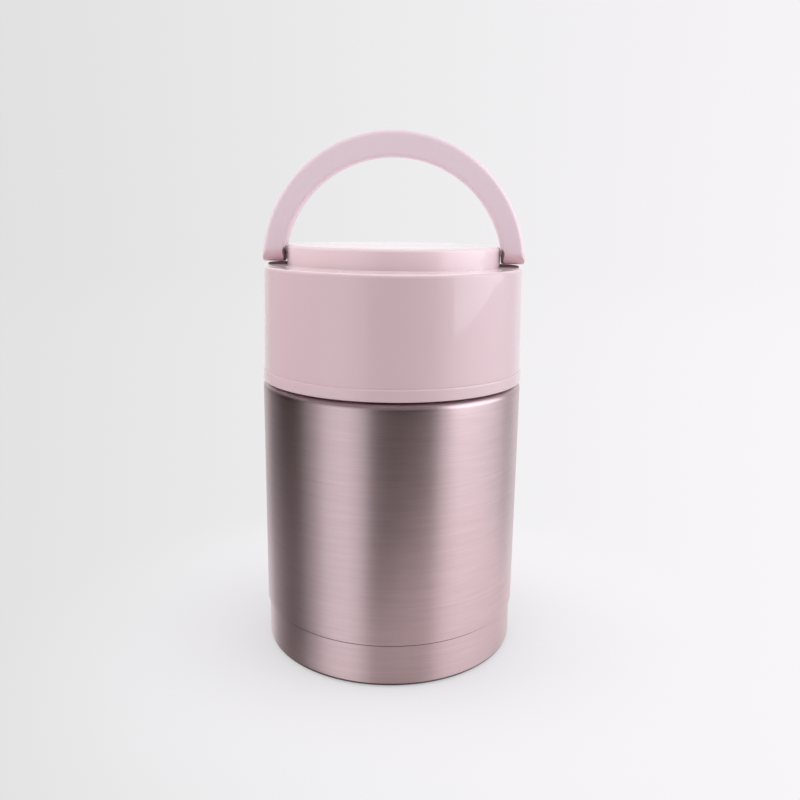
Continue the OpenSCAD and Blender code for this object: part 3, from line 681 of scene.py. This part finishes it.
# Painted light and shade by height: the lid is painted paler from the ledge up for the light its raised top
# gets, and the legs' ends are painted darker for the shade where they curve under.
PAINTED_LIGHT_TOP, PAINTED_SHADE_ENDS = (0.1558, 0.1564, 0.4, (0.97, 0.81, 0.84)), (0.1634, 0.1600, 0.5, (0.62, 0.36, 0.38))
pink_gloss = plastic(
    "pink_gloss", (0.61, 0.45, 0.478), 0.36, 1.0, sheen=0.15, bump=0.0000015, zone=PAINTED_LIGHT_TOP)
pink_satin = plastic("pink_satin", (0.745, 0.605, 0.652), 0.42, 0.15, zone=PAINTED_SHADE_ENDS)
# A dark maroon that is painted shade, for the shade under the handle's legs and in the slots beside them.
painted_shade_maroon = plastic("painted_shade_maroon", (0.17, 0.085, 0.095), 0.5, 0.0)
pale_satin = plastic("pale_satin", (0.80, 0.74, 0.74), 0.42, 0.1)
pink_button = plastic("pink_button", (0.62, 0.42, 0.47), 0.35, 0.3)
silicone = plastic("silicone_finish", (0.80, 0.79, 0.77), 0.55, 0.0)
foam = plastic("foam_finish", (0.86, 0.83, 0.72), 0.9, 0.0, bump=0.0002)

# %% Every piece gets its finish
finishes = {
    rose_steel: [steel_shell],
    rose_base: [steel_base],
    bright_steel: [
        "inner_liner", "vacuum_base", "seal_plug", "handle_pin_left", "handle_pin_right", vent_coil,
    ],
    getter_metal: ["getter"],
    pink_gloss: [lid_cover, lid_rim],
    pink_satin: [carry_arch],
    # Painted shade under the legs and in the slots.
    painted_shade_maroon: [*ribs, *hubs],
    pale_satin: ["stopper_body", "stopper_cover", "vent_stem"],
    pink_button: ["vent_button"],
    silicone: ["lid_gasket", "stopper_seal", "vent_seal"],
    foam: ["lid_foam", "stopper_foam"],
}
for finish, pieces in finishes.items():
    for piece in pieces:
        dress(nodes[piece] if isinstance(piece, str) else piece, finish)
    print(finish.name, "is on", len(pieces), "pieces")

# %% [markdown]
# ## Table, room and light
#
# The jar stands on a pale table. Near the jar half of what the camera sees of it is a matte surface
# with the jar's shadow, and further off it glows in the backdrop's colour, which gets lighter from
# left to right. That colour is laid out along lines from EYE, the place of the camera at rest, so
# that table and backdrop join without a seam in that view. In other views they may not.
#
# The jar reflects something else than the camera sees: a room of light and dim bands, a ceiling that
# lights strongly but is mirrored faintly, a soft band where the table's far end would be, and the
# table near the jar in a warmer tone, which gets see-through away from it. Rays are told apart by a
# Light Path node, so the backdrop that the camera sees adds no light to the jar.

# %% Table
BACKDROP_LEFT, BACKDROP_MIDDLE = (0.745, 0.745, 0.75, 1), (0.845, 0.84, 0.85, 1)
BACKDROP_RIGHT, BACKDROP_REACH = (0.93, 0.905, 0.925, 1), 0.45
TABLE_COLOUR, TABLE_WARM = (0.66, 0.655, 0.66, 1), (0.70, 0.63, 0.61, 1)
# Shares at the jar, what they gain further off, and the distances in metres between which they do.
GLOW_NEAR, GLOW_MORE, GLOW_EDGE = 0.5, 0.5, (0.06, 0.17)
CLEAR_NEAR, CLEAR_MORE, TABLE_EDGE = 0.5, 0.48, (0.075, 0.16)
GAIN, GAIN_EDGE = 0.02, (0.5, 2.5)
TABLE_MIDDLE = (0.09, -0.07, 0.0)
EYE = tuple(stand[:3, 3])


def backdrop(tree, direction):
    """The pale backdrop's colour in a direction: its grey follows the sine of the angle to the right
    of the view, from darker at the left to nearly white, and the right side is faintly pink."""
    view_right = (math.cos(view_turn), math.sin(view_turn), 0.0)
    side = add(tree, "VectorMath", {0: direction, 1: view_right}, operation="DOT_PRODUCT").outputs["Value"]
    ramp = add(tree, "ValToRGB", {"Fac": mapped(tree, side, -BACKDROP_REACH, BACKDROP_REACH)})
    for stop, colour in ((0.0, BACKDROP_LEFT), (1.0, BACKDROP_RIGHT)):
        ramp.color_ramp.elements[int(stop)].color = colour
    ramp.color_ramp.elements.new(0.5).color = BACKDROP_MIDDLE
    return ramp.outputs[0]


turn = np.linspace(0, 2 * np.pi, 64, endpoint=False)
rings = np.array([4000.0, 1500.0, 600.0, 300.0, 150.0])[:, None]
disc = np.stack(np.broadcast_arrays(rings * np.cos(turn), rings * np.sin(turn), 0.0), axis=-1)
table = surface("table", disc, end=(0, 0, 0))
table_top = bpy.data.materials.new("table_top")
table_top.use_nodes = True
tree = table_top.node_tree
tree.nodes.remove(tree.nodes["Principled BSDF"])
here = add(tree, "TexCoord").outputs["Object"]
ray = add(tree, "LightPath").outputs
away = add(tree, "VectorMath", {0: here}, operation="LENGTH").outputs["Value"]
matte = add(tree, "BsdfDiffuse", {"Color": TABLE_COLOUR}).outputs[0]
sight = add(tree, "VectorMath", {0: here, 1: EYE}, operation="SUBTRACT").outputs[0]
sight = add(tree, "VectorMath", {0: sight}, operation="NORMALIZE").outputs[0]
gain = scaled(tree, fade(tree, away, *GAIN_EDGE), -GAIN, 1 + GAIN)
glow = add(tree, "Emission", {"Color": backdrop(tree, sight), "Strength": gain}).outputs[0]
glowing = scaled(tree, fade(tree, away, *GLOW_EDGE), GLOW_MORE, GLOW_NEAR)
seen = blended(tree, glowing, matte, glow)
clear = add(tree, "BsdfTransparent").outputs[0]
off_table = add(tree, "VectorMath", {0: here, 1: TABLE_MIDDLE}, operation="DISTANCE").outputs["Value"]
clearing = scaled(tree, fade(tree, off_table, *TABLE_EDGE), CLEAR_MORE, CLEAR_NEAR)
warm = add(tree, "BsdfDiffuse", {"Color": TABLE_WARM}).outputs[0]
mirrored = blended(tree, clearing, warm, clear)
plain = maths(tree, "MAXIMUM", ray["Is Camera Ray"], ray["Is Transmission Ray"])
shown = blended(tree, ray["Is Glossy Ray"], blended(tree, plain, matte, seen), mirrored)
tree.links.new(shown, tree.nodes["Material Output"].inputs["Surface"])
dress(table, table_top)

# %% Room
def compass(tree, direction, stops):
    """A grey value by compass direction: 0 degrees is where the camera stands, and positive is to
    its right. The direction is turned back by the camera's own angle, its compass angle is
    atan2(x, -y), and a colour ramp joins the given (degrees, value) stops smoothly."""
    sockets = {"Vector": direction, "Angle": -view_turn}
    turned_back = add(tree, "VectorRotate", sockets, rotation_type="Z_AXIS").outputs[0]
    part = add(tree, "SeparateXYZ", {0: turned_back}).outputs
    angle = maths(tree, "ARCTAN2", part["X"], maths(tree, "MULTIPLY", part["Y"], -1.0))
    ramp = add(tree, "ValToRGB", {"Fac": mapped(tree, angle, -math.pi, math.pi)})
    ramp.color_ramp.interpolation = "EASE"
    while len(ramp.color_ramp.elements) < len(stops):
        ramp.color_ramp.elements.new(0.5)
    for element, (degrees, value) in zip(ramp.color_ramp.elements, stops):
        element.position = (degrees + 180) / 360
        element.color = (value, value, value, 1)
    return ramp.outputs[0]


ROOM = [
    (-180, 0.9), (-162, 0.85), (-148, 0.6), (-128, 0.16), (-107, 0.0), (-90, 0.0), (-74, 0.3),
    (-55, 0.82), (-40, 0.9), (-28, 0.65), (-14, 0.05), (0, 0.0), (22, 0.0), (36, 0.05), (46, 0.6),
    (60, 0.95), (85, 0.9), (104, 0.75), (124, 0.5), (150, 0.8), (180, 0.9),
]
DIM, BRIGHT, OVERHEAD = (0.015, 0.004, 0.0, 1.0), (1.0, 0.98, 1.0, 1.0), (1.0, 0.99, 1.01, 1.0)
CEILING, CEILING_MIRRORED, FAR_TABLE = 1.5, 0.2, 0.34
# The heights, as the sine of the angle above the horizon, between which each of them comes in.
CEILING_EDGE, FAR_TABLE_TOP, FAR_TABLE_FOOT = (0.35, 0.7), (-0.33, -0.42), (-0.56, -0.46)
world = bpy.data.worlds.new("room")
bpy.context.scene.world = world
world.use_nodes = True
tree = world.node_tree
tree.nodes.clear()
ray = add(tree, "LightPath").outputs
direction = add(tree, "TexCoord").outputs["Generated"]
above = add(tree, "SeparateXYZ", {0: direction}).outputs["Z"]
band = maths(tree, "MULTIPLY", fade(tree, above, *FAR_TABLE_TOP), fade(tree, above, *FAR_TABLE_FOOT))
level = scaled(tree, band, FAR_TABLE, compass(tree, direction, ROOM))
aloft = fade(tree, above, *CEILING_EDGE)
room = mixed(tree, aloft, mixed(tree, level, DIM, BRIGHT), OVERHEAD)
extra = scaled(tree, ray["Is Glossy Ray"], CEILING_MIRRORED - CEILING, CEILING - 1)
strength = scaled(tree, aloft, extra, 1.0)
lit = add(tree, "Background", {"Color": room, "Strength": strength}).outputs[0]
behind = add(tree, "Background", {"Color": backdrop(tree, direction)}).outputs[0]
plain = maths(tree, "MAXIMUM", ray["Is Camera Ray"], ray["Is Transmission Ray"])
shown = blended(tree, plain, lit, behind)
tree.links.new(shown, add(tree, "OutputWorld").inputs["Surface"])
bpy.context.scene.view_settings.view_transform = "Standard"

# %% Soft lights
def soft_light(name, compass_degrees, rise, distance, width, height, roll, brightness, colour, mirrored):
    """A rectangular light that faces the jar's axis from that compass direction, with its middle at
    that height in metres. A lamp of area A and radiance L gives out pi A L watts. A light that isn't
    mirrored lights the jar, but doesn't show in it."""
    lamp = bpy.data.lights.new(name, "AREA")
    lamp.shape, lamp.size, lamp.size_y = "RECTANGLE", width, height
    lamp.energy = math.pi * width * height * brightness
    lamp.color = colour
    light = bpy.data.objects.new(name, lamp)
    bpy.context.scene.collection.objects.link(light)
    turn = math.radians(compass_degrees + VIEW_SIDE)
    back = np.array([math.sin(turn), -math.cos(turn), 0.0])
    right, up = np.cross((0, 0, 1), back), np.array([0, 0, 1.0])
    lean = math.radians(roll)
    pose = np.eye(4)
    pose[:3, 0] = math.cos(lean) * right + math.sin(lean) * up
    pose[:3, 1] = math.cos(lean) * up - math.sin(lean) * right
    pose[:3, 2] = back
    pose[:3, 3] = distance * back + rise * up
    light.matrix_world = Matrix(pose.tolist())
    light.visible_camera = False
    light.visible_glossy = mirrored
    print(name, "gives", round(lamp.energy, 2), "W")


soft_light("right_light", 76.5, 0.466, 0.60, 0.644, 0.74, 6.1, 1.2, (0.98, 0.98, 1.05), True)
soft_light("right_fill", 96, 0.45, 0.62, 0.60, 0.70, 0.0, 0.9, (0.97, 0.98, 1.06), False)
soft_light("left_light", -98, 0.45, 0.70, 0.75, 0.80, 0.0, 2.05, (1.0, 0.98, 0.99), False)
